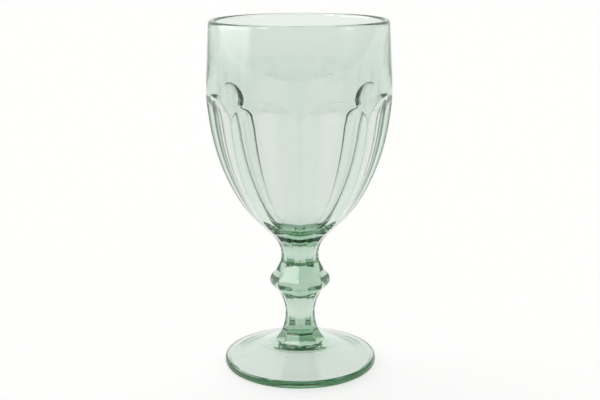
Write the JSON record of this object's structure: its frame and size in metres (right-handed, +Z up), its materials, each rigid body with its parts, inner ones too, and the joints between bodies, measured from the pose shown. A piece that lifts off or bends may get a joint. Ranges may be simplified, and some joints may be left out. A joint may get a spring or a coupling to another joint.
{
  "type": "goblet",
  "caption": "Footed drinking goblet of pale green pressed glass: plain lip band over flat arched panels, solid flat-sided stem with a knop, and a broad round foot.",
  "frame": {"origin": "on the goblet's axis, in the plane it stands on", "axes": "+Z runs up the axis from the foot to the mouth. One rib of the bowl and stem points along each of +X, -X, +Y and -Y, and the others lie halfway between."},
  "size_m": [0.0898, 0.0898, 0.1725],
  "materials": {
    "green_glass": "fire-polished"
  },
  "bodies": {
    "root": {"foot": "green_glass", "stem": "green_glass", "bowl": "green_glass"}
  },
  "joints": []
}
